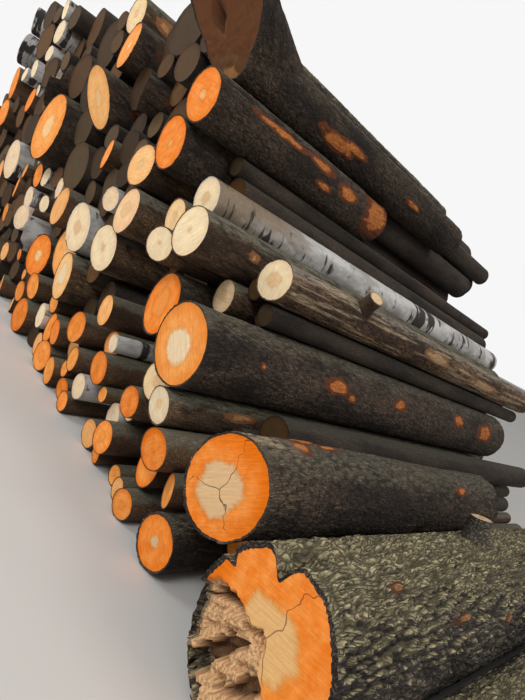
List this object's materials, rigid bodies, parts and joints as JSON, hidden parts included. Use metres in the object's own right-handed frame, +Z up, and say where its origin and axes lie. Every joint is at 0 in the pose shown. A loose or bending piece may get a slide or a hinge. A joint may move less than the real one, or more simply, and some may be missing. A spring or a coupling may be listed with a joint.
{
  "type": "stack of logs",
  "caption": "Long pile of felled alder and birch logs stacked on the ground, sawn butts to the front, bark on, thick logs at the near end.",
  "frame": {"origin": "middle of the pile's footprint, on the ground", "axes": "+X from the sawn butts to the thin ends at the back, +Y along the pile from the near end with the thickest logs, +Z up"},
  "size_m": [4.5918, 9.0082, 3.2279],
  "materials": {
    "alder": "fresh sawn orange alder ends, dark fissured bark",
    "pale_wood": "cream sawn ends, brown bark",
    "birch": "pale sawn ends, white bark with dark bands",
    "mossy_bark": "thick grey-green mossy bark plates, orange torn butt",
    "shaded_bark": "brown bark and sawn ends in shade"
  },
  "bodies": {
    "root": {"alder_foot_logs_far": "alder", "alder_foot_logs_near": "alder", "alder_middle_logs_far": "alder", "alder_middle_logs_near": "alder", "alder_upper_logs_far": "alder", "banded_birch_log": "birch", "birch_foot_logs_far": "birch", "birch_foot_logs_near": "birch", "birch_middle_logs_far": "birch", "birch_middle_logs_near": "birch", "birch_upper_logs_far": "birch", "broad_shaded_log": "pale_wood", "cream_foot_log": "pale_wood", "cream_front_log": "pale_wood", "cream_heart_log": "pale_wood", "crooked_butt_log": "alder", "giant_ground_log": "mossy_bark", "great_heart_log": "alder", "half_shaded_cream_log": "pale_wood", "half_shaded_upper_log": "pale_wood", "hidden_foot_logs": "shaded_bark", "hidden_middle_logs": "shaded_bark", "hidden_upper_logs": "shaded_bark", "leaning_foot_log": "alder", "lichen_top_log": "alder", "mossy_ground_log": "mossy_bark", "oblique_cut_log": "alder", "pale_heart_log": "pale_wood", "peeled_stub_log": "alder", "pink_cream_log": "pale_wood", "ragged_orange_log": "alder", "round_cream_log": "pale_wood", "round_orange_log": "alder", "shaded_foot_log": "pale_wood", "slant_cut_birch_log": "birch", "slim_orange_log": "alder", "split_cheek_log": "pale_wood", "split_shaded_log": "pale_wood", "stepped_butt_log": "alder", "tilted_cut_log": "alder", "top_flared_log": "alder", "torn_cream_log": "pale_wood", "upper_alder_log": "alder", "white_birch_log": "birch", "white_face_log": "pale_wood", "wide_orange_log": "alder"}
  },
  "joints": []
}
